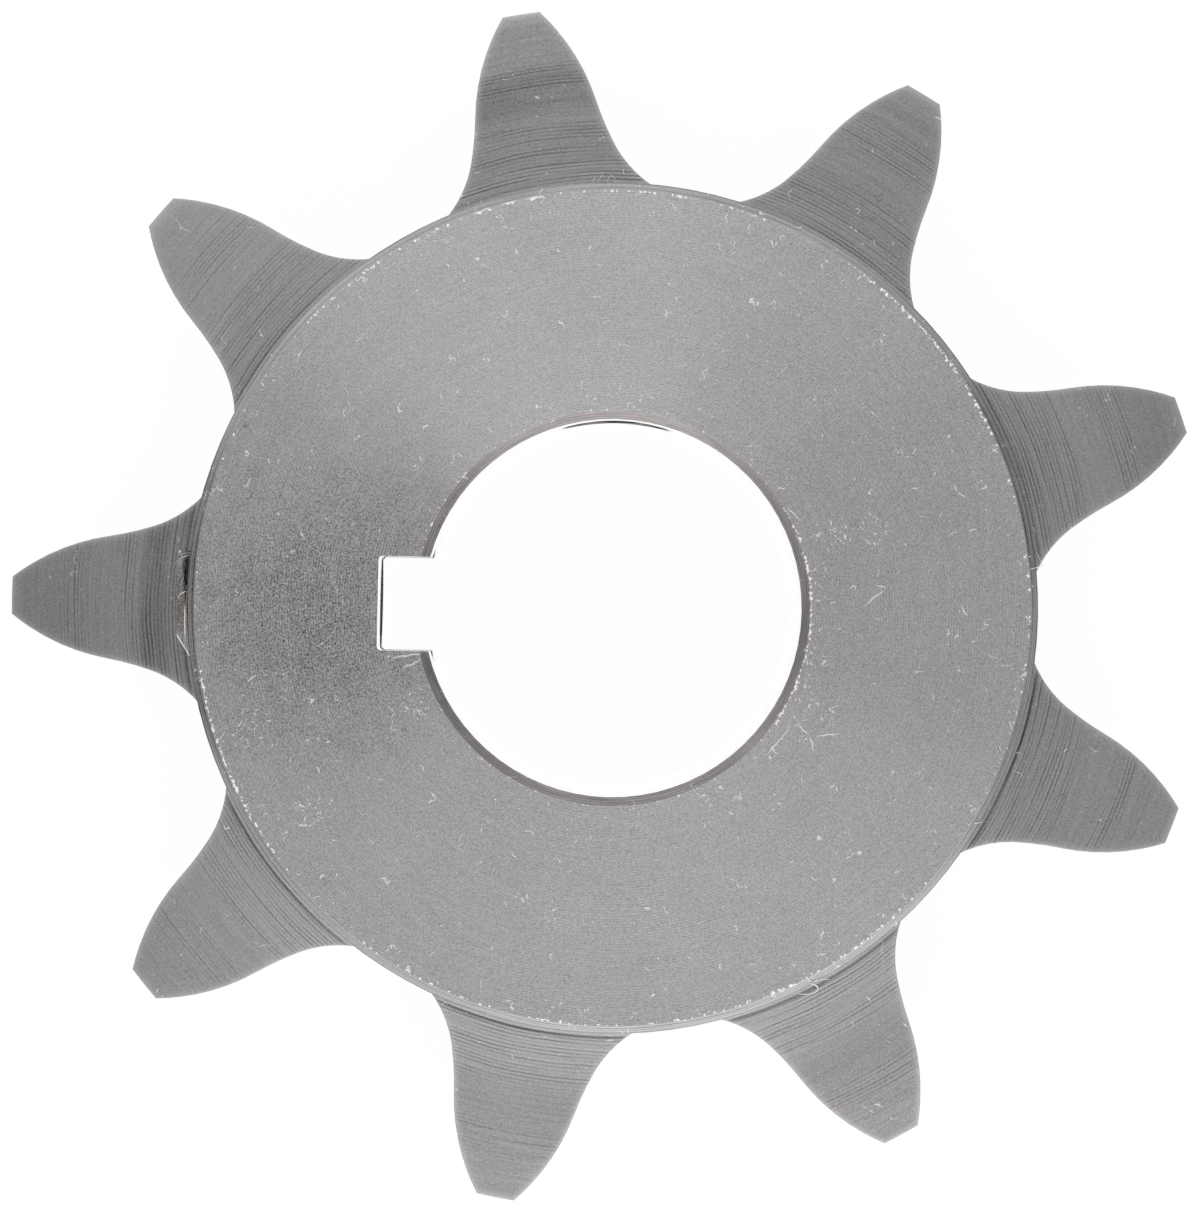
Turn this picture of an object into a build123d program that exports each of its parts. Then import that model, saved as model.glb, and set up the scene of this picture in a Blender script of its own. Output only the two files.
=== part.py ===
from build123d import *
import os
from math import acos, atan2, cos, hypot, isclose, pi, radians, sin, sqrt, tan

# Steel drive sprocket for single strand roller chain, with a hub on one side.
# The body is turned and hobbed from one bar, then bored, broached for a key and
# cross drilled. Two socket set screws lock it to the shaft.
#
# Frame: +Z runs along the bore towards the hub face. The origin is on the bore
# axis in the middle plane of the teeth, which is the centre line of the chain.
# The keyway opens towards -X and one tooth stands over it. Sizes are in mm.

# ---- Roller chain that runs on the teeth ----
chain_pitch = 25.4
roller_diameter = 15.875
chain_inner_width = 15.875     # between the inner plates
chain_plates_width = 29.2      # over the outer plates

# ---- Teeth ----
tooth_count = 9
side_play = 1.275              # inner width of the chain less the width of a tooth
seat_looseness = 0.156         # seat diameter over roller diameter
seat_drop_angle = 38.2         # end of the seat, in degrees below the roller centre
working_centre_distance = 12.7  # from the roller centre to the working arc's centre
working_sweep = 9.0            # degrees of working arc
topping_radius = 15.5          # convex arc that rounds the tooth towards its tip
tip_height_factor = 0.6        # pitches that the tips add to the chain's inscribed polygon
relief_height = 12.7           # radial height of the rounded tooth sides
relief_depth = 3.175           # how far the tooth sides draw in at the tip
gap_overshoot = 1.1            # tip radii that the cut between two teeth reaches out to

# ---- Hub ----
hub_diameter = 57.15
length_through_bore = 41.275
plate_floor_clearance = 0.76   # diameter left free under the chain plates
plate_side_clearance = 1.0     # between the outer plates and the collar of the hub
groove_corner_chamfer = 0.6
rim_chamfer = 0.5
collar_edge_chamfer = 0.3

# ---- Bore and keyway ----
bore_diameter = 25.4
bore_chamfer = 0.57
key_width = 6.35
key_height = 6.35
key_top_clearance = 0.28
keyway_corner_radius = 0.3

# ---- Socket set screws ----
screw_diameter = 7.938
thread_clearance = 0.04        # radial, between the screw and its tapped hole
screw_length = 12.7
screw_end_diameter = 5.24      # flat of the socket end
screw_end_chamfer = 0.85       # length of the chamfer at the socket end
point_chamfer = 0.9
cup_diameter = 4.4
cup_depth = 1.2
socket_size = 3.97             # across the flats
socket_depth = 4.2
countersink_depth = 0.6        # at the mouth of each tapped hole
countersink_slope = 45.0       # degrees from the hole's axis
keyway_screw_stand_out = 1.05  # from the side of the hub
side_screw_stand_out = 0.2
screw_inset = 9.525            # from the hub face to the axis of both screws
# Name of each screw, its angle about the bore, and how far it stands out
screw_stations = (
    ("keyway_set_screw", 180.0, keyway_screw_stand_out),
    ("side_set_screw", 90.0, side_screw_stand_out),
)

# ---- Sizes that follow ----
half_width = (chain_inner_width - side_play) / 2
pitch_radius = chain_pitch / 2 / sin(pi / tooth_count)
tip_radius = chain_pitch * (tip_height_factor + 1 / tan(pi / tooth_count)) / 2
relief_radius = tip_radius - relief_height
seat_radius = (roller_diameter + seat_looseness) / 2
working_radius = working_centre_distance + seat_radius
bore_radius = bore_diameter / 2
hub_radius = hub_diameter / 2
hub_face = length_through_bore - half_width
groove_radius = (chain_pitch * (1 / tan(pi / tooth_count) - 1) - plate_floor_clearance) / 2
collar_start = chain_plates_width / 2 + plate_side_clearance
bore_wall_at_key = sqrt(bore_radius**2 - (key_width / 2) ** 2)
keyway_floor = bore_wall_at_key + key_height / 2 + key_top_clearance
screw_height = hub_face - screw_inset
tapped_radius = screw_diameter / 2
screw_radius = tapped_radius - thread_clearance


def tip_corner(flank_end, flank_direction):
    """Point where the topping arc, tangent at flank_end, meets the tip circle."""
    centre = flank_end + Vector(flank_direction.Y, -flank_direction.X) * topping_radius
    reach = hypot(centre.X, centre.Y)
    opening = (reach**2 + tip_radius**2 - topping_radius**2) / (2 * reach * tip_radius)
    angle = atan2(centre.Y, centre.X) + acos(opening)
    return Vector(tip_radius * cos(angle), tip_radius * sin(angle))


def circles_of(part, radius):
    """Circular edges of a part that have the given radius, lowest first."""
    circles = part.edges().filter_by(GeomType.CIRCLE)
    return circles.filter_by(lambda edge: isclose(edge.radius, radius)).sort_by(Axis.Z)


def screw_plane(angle):
    """Plane on the bore axis at the screws' height, facing out along a screw."""
    outward = (cos(radians(angle)), sin(radians(angle)), 0)
    return Plane(origin=(0, 0, screw_height), x_dir=(0, 0, 1), z_dir=outward)


# Gap between two teeth, centred on +Y: a round seat for the roller, a concave
# working arc and a convex topping arc, each tangent to the one before it.
with BuildSketch() as tooth_gap:
    with BuildLine():
        seat = JernArc((0, pitch_radius - seat_radius), (1, 0), seat_radius, 90 - seat_drop_angle)
        working = JernArc(seat @ 1, seat % 1, working_radius, working_sweep)
        corner = tip_corner(working @ 1, working % 1)
        topping = TangentArc(working @ 1, corner, tangent=working % 1)
        Polyline(corner, corner * gap_overshoot, (0, tip_radius * gap_overshoot))
        mirror(about=Plane.YZ)
    make_face()

with BuildPart() as sprocket:
    # Turned blank: toothed plate, groove that clears the chain plates, and collar
    with BuildSketch(Plane.XZ):
        with BuildLine():
            plate_face = Line((bore_radius, -half_width), (relief_radius, -half_width))
            tip_low = (tip_radius, relief_depth - half_width)
            tip_high = (tip_radius, half_width - relief_depth)
            TangentArc(plate_face @ 1, tip_low, tangent=(1, 0))
            Line(tip_low, tip_high)
            TangentArc((relief_radius, half_width), tip_high, tangent=(1, 0))
            Polyline(
                (relief_radius, half_width),
                (groove_radius, half_width),
                (groove_radius, collar_start),
                (hub_radius, collar_start),
                (hub_radius, hub_face),
                (bore_radius, hub_face),
                (bore_radius, -half_width),
            )
        make_face()
    revolve(axis=Axis.Z)
    chamfer(circles_of(sprocket.part, groove_radius), groove_corner_chamfer)
    chamfer(circles_of(sprocket.part, hub_radius)[0], collar_edge_chamfer)
    chamfer(circles_of(sprocket.part, hub_radius)[-1], rim_chamfer)
    chamfer(circles_of(sprocket.part, bore_radius), bore_chamfer)

    # Hobbed teeth
    with BuildSketch(Plane.XY.offset(-half_width)):
        with PolarLocations(0, tooth_count, start_angle=-90):
            add(tooth_gap.sketch)
    extrude(amount=2 * half_width, mode=Mode.SUBTRACT)

    # Broached keyway
    with BuildSketch(Plane.XY.offset(-half_width)) as keyway:
        Rectangle(keyway_floor, key_width, align=(Align.MAX, Align.CENTER))
        fillet(keyway.vertices().group_by(Axis.X)[0], keyway_corner_radius)
    extrude(amount=length_through_bore, mode=Mode.SUBTRACT)

    # Tapped holes, countersunk at the hub
    for name, angle, stand_out in screw_stations:
        with BuildSketch(screw_plane(angle)):
            Circle(tapped_radius)
        extrude(amount=hub_radius, mode=Mode.SUBTRACT)
        with BuildSketch(screw_plane(angle).offset(hub_radius)):
            Circle(tapped_radius + countersink_depth * tan(radians(countersink_slope)))
        extrude(amount=-countersink_depth, taper=countersink_slope, mode=Mode.SUBTRACT)

os.makedirs("parts", exist_ok=True)
sprocket.part.label = "sprocket"
export_step(sprocket.part, "parts/sprocket.step")

# Set screws: hex socket outwards, cup point towards the shaft
for name, angle, stand_out in screw_stations:
    with BuildPart(screw_plane(angle).offset(hub_radius + stand_out)) as set_screw:
        Cylinder(screw_radius, screw_length, align=(Align.CENTER, Align.CENTER, Align.MAX))
        along = Axis((0, 0, screw_height), screw_plane(angle).z_dir)
        ends = set_screw.edges().filter_by(GeomType.CIRCLE).sort_by(along)
        chamfer(ends[0], point_chamfer)
        chamfer(
            ends[-1],
            screw_end_chamfer,
            screw_radius - screw_end_diameter / 2,
            reference=set_screw.faces().filter_by(GeomType.CYLINDER)[0],
        )
        with BuildSketch(screw_plane(angle).offset(hub_radius + stand_out)):
            RegularPolygon(socket_size / 2, 6, major_radius=False)
        extrude(amount=-socket_depth, mode=Mode.SUBTRACT)
        with Locations((0, 0, -screw_length)):
            Cone(
                cup_diameter / 2,
                0,
                cup_depth,
                align=(Align.CENTER, Align.CENTER, Align.MIN),
                mode=Mode.SUBTRACT,
            )
    set_screw.part.label = name
    export_step(set_screw.part, f"parts/{name}.step")
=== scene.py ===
from math import atan2, cos, hypot, pi, radians, sin, sqrt
import bmesh
import bpy
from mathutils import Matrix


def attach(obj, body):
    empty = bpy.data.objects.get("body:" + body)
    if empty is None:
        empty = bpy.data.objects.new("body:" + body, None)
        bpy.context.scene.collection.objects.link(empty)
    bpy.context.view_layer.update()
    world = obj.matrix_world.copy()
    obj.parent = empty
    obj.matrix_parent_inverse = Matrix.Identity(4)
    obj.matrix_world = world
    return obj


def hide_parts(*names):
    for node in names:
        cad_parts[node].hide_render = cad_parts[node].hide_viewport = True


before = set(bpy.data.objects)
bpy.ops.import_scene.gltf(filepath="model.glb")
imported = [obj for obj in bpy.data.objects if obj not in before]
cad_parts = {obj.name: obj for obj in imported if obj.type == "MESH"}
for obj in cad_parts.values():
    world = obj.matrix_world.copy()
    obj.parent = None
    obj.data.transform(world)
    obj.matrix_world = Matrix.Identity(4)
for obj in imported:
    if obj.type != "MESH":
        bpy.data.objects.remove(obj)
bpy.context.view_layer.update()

MM = 0.001

# ---- Sizes that the dressing shares with the solids, in mm ----
HUB_RADIUS = 28.575
HUB_FACE = 33.975
RIM_CHAMFER = 0.5
BORE_RADIUS = 12.7
BORE_CHAMFER = 0.57
PLATE_HALF = 7.3
SCREW_HEIGHT = HUB_FACE - 9.525
KEYWAY_FLOOR = 15.752
TOOTH_COUNT = 9
TIP_RADIUS = 42.513
# Arcs of the gap between two teeth, seen with +Y along its middle and the bore axis at the
# origin: centre, radius, and how far from the axis the arc ends
SEAT = ((0.0, 37.132), 8.016, 32.786)
WORKING = ((-9.98, 44.986), 20.716, 35.81)
TOPPING = ((21.633, 27.318), 15.5)

# ---- Zones of the sprocket's surface: where each begins and where it is whole ----
# Faces and chamfers, by the size of the normal's Z part
FACES = (0.4, 0.5)
CHAMFERS = (0.707, 0.1, 0.03)  # middle, half width, fade
# The others by their radius or height, in mm
BEYOND_HUB = (HUB_RADIUS + 0.1, HUB_RADIUS + 0.3)
RIM = (27.0, 27.5)
RIM_OUTER_EDGE = (27.8, 28.2)
HUB_TOP = (HUB_FACE - 0.7, HUB_FACE - 0.6)
NEAR_BORE = (KEYWAY_FLOOR + 0.9, KEYWAY_FLOOR + 0.5)

# ---- Noises: scale a mm, detail, roughness ----
CLOUD = (0.12, 1.0, 0.55)
MOTTLE = (0.6, 2.0, 0.65)
DENTS = (4.2, 1.0, 0.6)
TEARS = (9.0, 2.0, 0.7)
OXIDE_MOTTLE = (2.2, 3.0, 0.65)
OXIDE_FLECKS = (6.5, 1.0, 0.6)
OXIDE_STREAKS = (9.0, 2.0, 0.8)  # scales along a screw, out from its axis and up
GRAIN = (8.0, 5.0)  # scales of the place and along the tool's feed
BEND = (2.1, 0.65)  # what bends the loose marks: scale, and reach in mm
# Noises that run round the bore axis: pace along the feed, pace round, detail, roughness
RINGS = (4.6, 5.0, 1.0, 0.6)
LINE_DEPTHS = (0.83, 4.5, 1.0)
LINE_PATCHES = (0.42, 1.6, 0.0)
LINE_WANDER = (0.5, 7.0, 0.9)  # pace along, pace round, and reach in feeds

# ---- Tool marks, in mm ----
HUB_FEED = 0.19  # from one turned ring of the hub to the next
TOOTH_FEED = 0.26  # from one line of the tooth sides to the next
RIM_FEED = 0.17  # from one ridge of the chamfers to the next
# Dark lines turned in the hub's rim: radius, half width, fade
RIM_LINES = ((HUB_RADIUS - 0.36, 0.02, 0.06), (HUB_RADIUS - 0.06, 0.03, 0.05))
# Groove and crest of a line of the tooth sides, in feeds: middle, half width, fade
LINE_GROOVE = (0.5, 0.06, 0.26)
LINE_CREST = (0.02, 0.06, 0.16)
CUT_THROUGH = (0.3, 0.7)  # what the depth of a line is stretched between
CLOSE_LINES = (34.8, 34.1)  # the lines near the hub fade in between these radii
TIP_LINES = (38.0, 0.9, 0.4)  # the lines near the tips: middle radius, half width, fade
PATCH_SHIFT = 2.4  # how far the ends of both groups stray
FAINT_LINES = 0.15  # depth of the lines between the two groups
PLAIN_TIPS = (43.5, 37.0)  # every line grows fainter towards the tips
LAY_ROUND = 0.05  # how strongly flat faces take the direction round the bore axis
WAVE_HEIGHT = 0.0007
CUT_DEPTH = 0.012

# ---- Oil, dirt and rounded edges, in mm ----
OIL_MIDDLE = (-20.0, -0.5, 0.0)
OIL_REACH = (13.5, 1.0)
OIL_STRAY = 9.0
PAINTED_SHADE_SIDE = (180.0, 12.0, 40.0)  # painted shade: direction, half width and fade of the darker side
FOOT_RIM = (30.12, 30.06)  # painted light: next to the hub the tooth sides carry on the tone of its rim
FOOT_SHADOW_LINE = (30.26, 0.06, 0.09)  # painted shadow line round it: radius, half width, fade
# Stains over the keyway and over the other screw: direction, half width and fade in
# degrees, then middle radius, half width and fade
STAINS = (((180.0, 8.0, 12.0), (32.4, 0.7, 0.4)), ((100.0, 6.0, 10.0), (36.8, 1.1, 0.9)))
STEEL_ROUNDING = 0.13
OXIDE_ROUNDING = 0.07
STEEL_EDGE = (0.01, 0.12)  # 1 less the cosine by which the rounding turns the surface
OXIDE_EDGE = (0.02, 0.12)
OUTLINE_FADE = 0.172  # painted highlight along the outline of the tooth sides, falling to 1/e in this
OUTLINE_SHARE = 0.64

# ---- Painted light on the tooth sides, brighter at roots and tips: radii, and parts of the direction in Y ----
ROOTS = (35.0, 29.0)
OUTER_HALF = (37.5, 41.5)
LOW_ROOTS, LOW_SIDE = (36.0, 33.5), (-0.3, -0.9)
HIGH_ROOTS, HIGH_SIDE = (32.6, 30.4), (0.3, 0.8)
TIPS = (41.4, 42.4)

# ---- How much each layer changes the tone of the steel, as a share of it ----
CLOUD_SHARE = 0.16
BRUISE_SHARE = 0.22
STAIN_SHARE = 0.19
OIL_SHARE = 0.2
PAINTED_SHADE_SHARE = 0.08
RIM_LINE_SHARE = 0.2
CREST_SHARE, CUT_SHARE = 0.16, 0.36
MOTTLE_DRY, MOTTLE_OILY = 0.06, 0.24
GRAIN_HUB, GRAIN_TEETH, GRAIN_OILY = 0.7, 0.6, 1.4
GRAIN_LOST = 0.6  # on the chamfers
WAVE_DRY, WAVE_OILY = 0.055, 0.09
WAVE_PATCHES, WAVE_LEAST = (-0.08, 0.08), 0.5
RINGS_HUB, RINGS_TEETH, RINGS_CHAMFERS, RINGS_BORE = 0.16, 0.36, 0.6, 0.45
RIDGES_RIM, RIDGES_RIM_UP, RIDGES_MOUTH = 0.2, 0.06, 0.1
FOOT_SHARE, FOOT_RIGHT, FOOT_AS_RIM = 0.22, 0.1, 0.6
FOOT_LINE_SHARE, FOOT_LINE_UP = 0.42, 0.36
ROOTS_EVEN, ROOTS_RIGHT, ROOTS_UP = 0.38, 0.02, 0.28
OUTER_SHARE, LOW_SHARE, HIGH_SHARE = 0.03, 0.17, 0.2
TIP_SHARE, TIP_UP = 0.12, 0.13

# ---- How much of the colour below each layer covers ----
CHAMFER_COVER = 0.75
EDGE_COVER, RIM_HIGHLIGHT_COVER = 0.55, 0.4
MARK_COVER = 0.8
DUST_COVER, COMMA_COVER, HAIR_COVER, PLACED_COVER = 0.9, 0.85, 0.7, 0.9

# ---- Roughness and lay ----
ROUGH_HUB, ROUGH_TEETH, ROUGH_BORE, ROUGH_EDGE = 0.34, 0.42, 0.2, 0.3
ROUGH_MOTTLE = 0.1
SMOOTHED_EDGE = 0.6
LAY_STRENGTH = 0.62

# ---- Colours of the steel, linear ----
HUB_WARM = (0.364, 0.353, 0.366)
HUB_COOL = (0.355, 0.354, 0.366)
HUB_SPLIT = (-0.1, 0.1)  # values of the clouds between which warm turns to cool
TOOTH_COOL = (0.29, 0.283, 0.294)
TOOTH_WARM = (0.3, 0.288, 0.288)
TOOTH_SPLIT = (-0.12, 0.2)
TOOTH_OUTLINE_GLOW = (0.66, 0.645, 0.61)
TOOTH_EDGE_WEAR_AND_HIGHLIGHT = (0.43, 0.395, 0.36)
RIM_BROWN = (0.385, 0.372, 0.372)
RIM_EDGE_HIGHLIGHT = (0.62, 0.61, 0.6)
MOUTH_BROWN = (0.42, 0.384, 0.376)
# Painted light: the bore wall coloured white, as the lit bore looks, far paler than the steel
BORE_PAINTED_LIGHT = (1.0, 1.0, 1.0)
MARK_WHITE = (0.82, 0.81, 0.8)
NICK_WHITE = (0.9, 0.9, 0.9)
BURR_DARK = (0.6, 0.58, 0.56)
BURR_BRIGHT = (0.95, 0.94, 0.92)
BURR_SPLIT = (0.35, 0.65)
BURR_ROUGHNESS, BURR_HEIGHT = 0.3, 0.02

# ---- Colours and marks of the set screws, in mm: reach is measured from a screw's end ----
OXIDE_GREEN = (0.135, 0.133, 0.125)
OXIDE_RED = (0.14, 0.112, 0.106)
OXIDE_NEAR_BLACK = (0.022, 0.02, 0.018)
OXIDE_WORN_AND_HIGHLIGHT = (0.72, 0.7, 0.66)
OXIDE_WIPED = (0.8, 0.79, 0.76)
OXIDE_HIGHLIGHT = (0.95, 0.94, 0.92)
# Reach at which the keyway screw's near-black band starts and ends: at y = 0, and more for each
# mm of y
DARK_START, DARK_END = (0.62, -0.124), (0.72, 0.08)
DARK_SOFT = 0.03
GROOVE_DEPTH, GROOVE_REACH = (3.5, 3.3), (0.34, 0.42)  # near black in the other screw's thread grooves
SOCKET_WALL, SOCKET_REACH = (2.35, 2.2), (0.05, 0.3)
WIPED_LINE = (0.64, 0.015, 0.04)  # reach, half width, fade
WIPED_FROM, WIPED_TO, WIPED_COVER = (-0.3, -0.9), (-3.0, -2.2), 0.8
RUST_FROM, RUST_TO = (-1.9, -1.3), (0.3, 0.0)
RUST_EVEN, RUST_SHARE, RUST_SPLIT = 0.4, 0.14, (0.44, 0.6)
STREAK_SHARE, FLECK_SHARE, BLOTCH_LESS, BLOTCH_LEAST = 1.5, 4.3, 1.9, 0.3
# Painted highlights on the keyway screw: along the edge of its low end, and a crescent on its
# end's chamfer
LOW_END_HIGHLIGHT = (-1.8, -2.4)
WORN_SPLIT, WORN_COVER, LOW_END_HIGHLIGHT_COVER = (0.36, 0.54), 0.75, 0.95
CRESCENT_UP, CRESCENT_SIDE, CRESCENT_REACH = (1.2, 0.8), (-2.1, -2.35), (1.0, 0.85)
OXIDE_ROUGH, OXIDE_ROUGH_MOTTLE, OXIDE_ROUGH_WORN = 0.3, 0.2, 0.28
STREAK_HEIGHT, MOTTLE_HEIGHT = 0.012, 0.01

# ---- Loose marks: cells a mm, share of the cells that hold one, sizes in mm, seed ----
DUST = {"scale": 3.3, "size": 0.11, "seed": 2}
COMMAS = {"scale": 0.42, "share": 0.22, "length": 0.34, "width": 0.055, "bend": 1.5, "seed": 3}
HAIRS = {"scale": 0.2, "share": 0.34, "length": 1.2, "width": 0.045, "bend": 0.9, "seed": 4}
BRUISES = {"scale": 0.33, "share": 0.2, "length": 0.45, "width": 0.07, "bend": 0.6, "seed": 6}
SEED_STEP = (17.3, 9.1)  # how far a seed moves the cells
SHORTEST, STROKE_BODY, STROKE_CORE = 0.35, 0.7, 0.3  # shares of a stroke's length and width
SMALLEST, SPECK_CORE, SLIMMEST, SLIM_RANGE = 0.4, 0.4, 0.6, 1.4
HAIR_GAPS, HAIR_LEAST = (-0.04, 0.08), 0.35  # the grain breaks the hairs up
FEW_ON_TEETH = 0.5  # share of the loose marks that the teeth have, next to the hub
# Shares of the cells that hold dust: everywhere, in its places, at edges and in patches
DUST_EVEN, DUST_PLACED, DUST_EDGES, DUST_PATCHES = 0.012, 0.65, 0.08, 0.12
DUST_PATCH_SPLIT = (0.06, 0.16)
DUSTY_EDGES = ((14.0, 0.3, 1.0), (27.5, 0.3, 0.9))  # radius, half width, fade
DUSTY_MIDDLE = 0.3  # share of a dusty place's reach that is full
MARK_WIDTH, MARK_CORE, MARK_SWAY = 0.06, 0.5, 0.25  # of the placed marks
FAR = 9.0  # starting distance, farther away than the edge of any mark or spot
# Dents along an edge: how much noise and wear add, what a mm of distance takes, and limits
DENT_NOISE, DENT_WEAR, DENT_FALL, DENT_LIMITS = 2.4, 0.5, 3.0, (0.28, 0.5)
RIM_DENTS = HUB_RADIUS - RIM_CHAMFER - 0.1
MOUTH_DENTS = BORE_RADIUS + BORE_CHAMFER + 0.07

# ---- Struck stretches of edge: direction, half width, fade and depth of the wear ----
RIM_WEAR = (
    (40.0, 12.0, 5.0, 0.85), (5.0, 16.0, 8.0, 0.42), (-62.0, 18.0, 8.0, 0.5),
    (-94.0, 3.0, 4.0, 0.5), (-112.0, 14.0, 8.0, 0.36), (-150.0, 5.0, 6.0, 0.85),
    (-165.0, 4.0, 5.0, 0.8), (106.0, 4.0, 4.0, 0.75), (95.0, 18.0, 10.0, 0.4),
    (128.0, 8.0, 6.0, 0.55),
)
MOUTH_WEAR = ((-2.0, 20.0, 8.0, 0.85), (-26.0, 7.0, 5.0, 0.6), (24.0, 5.0, 5.0, 0.6))

# ---- Scratches and hairs that stand out on the hub face: x and y of both ends, in mm ----
HUB_MARKS = (
    (-14.9, -3.77, -13.57, -3.35), (-14.44, -3.66, -12.43, -3.24),
    (-14.08, -4.33, -12.69, -3.76), (17.57, 2.01, 18.33, 1.69), (18.33, 1.69, 16.69, 0.43),
    (11.49, 7.1, 12.62, 6.02), (19.85, 8.43, 20.42, 8.52), (23.7, 5.7, 24.37, 5.9),
    (23.32, 0.69, 23.9, -0.07), (22.61, 8.85, 23.0, 8.25), (22.9, 8.35, 23.65, 7.92),
    (10.25, -9.9, 12.3, -7.6), (12.51, -7.5, 13.43, -8.28), (13.43, -8.2, 13.71, -9.37),
    (13.69, -8.28, 15.62, -8.1), (-24.45, -5.49, -23.68, -4.98), (-10.14, 26.15, -8.53, 26.72),
    (-8.2, 26.82, -6.88, 27.19), (-6.6, 27.26, -5.3, 27.54),
)

# ---- Places on the hub face where bright dust has gathered: centre and reach, in mm ----
DUSTY = (
    ((13.73, 2.72), 1.1), ((13.7, 0.6), 0.8), ((13.85, -2.98), 1.1), ((14.9, 5.2), 1.5),
    ((17.4, 5.6), 1.6), ((13.11, -5.88), 1.2), ((-24.12, -8.57), 2.1), ((-18.59, -6.77), 1.2),
    ((-13.3, -6.9), 1.6), ((-19.88, -14.1), 1.9),
)

# ---- Painted light and shade by direction round the bore axis: direction, half width, fade, share ----
HUB_PAINTED_LIGHT = ((105.0, 12.0, 35.0, 0.14), (-55.0, 15.0, 30.0, 0.04), (8.0, 20.0, 20.0, -0.06))
TOOTH_PAINTED_LIGHT = ((139.0, 14.0, 12.0, 0.22), (-141.0, 14.0, 12.0, 0.12), (19.0, 12.0, 14.0, 0.1))
RIM_PAINTED_LIGHT = (
    (180.0, 6.0, 22.0, -0.34), (-10.0, 8.0, 20.0, -0.17), (20.0, 6.0, 12.0, -0.36),
    (-80.0, 42.0, 22.0, 0.24), (140.0, 12.0, 14.0, 0.08),
)
MOUTH_PAINTED_LIGHT = ((45.0, 25.0, 30.0, 0.28), (-28.0, 8.0, 14.0, 0.18), (-75.0, 15.0, 15.0, -0.16))

# ---- 5/16-18 socket set screws, in mm ----
SCREW_RADIUS = 3.929
SCREW_LENGTH = 12.7
THREAD_PITCH = 25.4 / 18
ROOT_STARTS, FLANK_WIDTH = 6 / 16, 5 / 16  # in pitches, from the middle of the crest
ROOT_RADIUS = 3.165
END_RADIUS = 2.62
END_CHAMFER = 0.85
POINT_CHAMFER = 0.9
CUP_RADIUS = 2.2
CUP_DEPTH = 1.2
SOCKET_SIZE = 3.97
SOCKET_DEPTH = 4.2
SOCKET_LEAD = (0.12, 0.14)  # chamfer at the socket's mouth: width and depth
SOCKET_CONE = 0.6  # height of the drilled cone at the socket's bottom
TAPPED_RADIUS = 3.969
TAPPED_MINOR = 3.29
WALL_COVER = 0.03  # how far the tapped thread's roots lie in the wall of the hole
WALL_BACK = 0.05  # and its back
TAPPED_SHARE = 0.98  # of the full height that the tapped thread has
COUNTERSINK = 0.6
KEYWAY_SCREW_END = HUB_RADIUS + 1.05
SIDE_SCREW_END = HUB_RADIUS + 0.2
# A part of a thread's first turn starts deeper, between two angles, growing and falling
# over some degrees
LATE_FROM, LATE_OVER, LATE_UNTIL, LATE_FALL = 60.0, 40.0, 355.0, 50.0
LATE_DEPTH = 1.5
RUN_IN = 0.3  # depth over which the thread reaches its full height
AROUND = 96  # points round a screw
ROWS_A_PITCH = 16
SHARP_ANGLE = 25.0
MERGE = 0.002  # points closer than this become one
SLIVER = 0.001  # edges shorter than this go


# ---- Node helpers ----
class Value:
    """Output of a shader node that adds, subtracts and multiplies like a number."""

    def __init__(self, graph, socket):
        self.graph = graph
        self.socket = socket

    def __add__(self, other):
        return self.graph.math("ADD", self, other)

    def __radd__(self, other):
        return self.graph.math("ADD", other, self)

    def __sub__(self, other):
        return self.graph.math("SUBTRACT", self, other)

    def __rsub__(self, other):
        return self.graph.math("SUBTRACT", other, self)

    def __mul__(self, other):
        return self.graph.math("MULTIPLY", self, other)

    def __abs__(self):
        return self.graph.math("ABSOLUTE", self)


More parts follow.
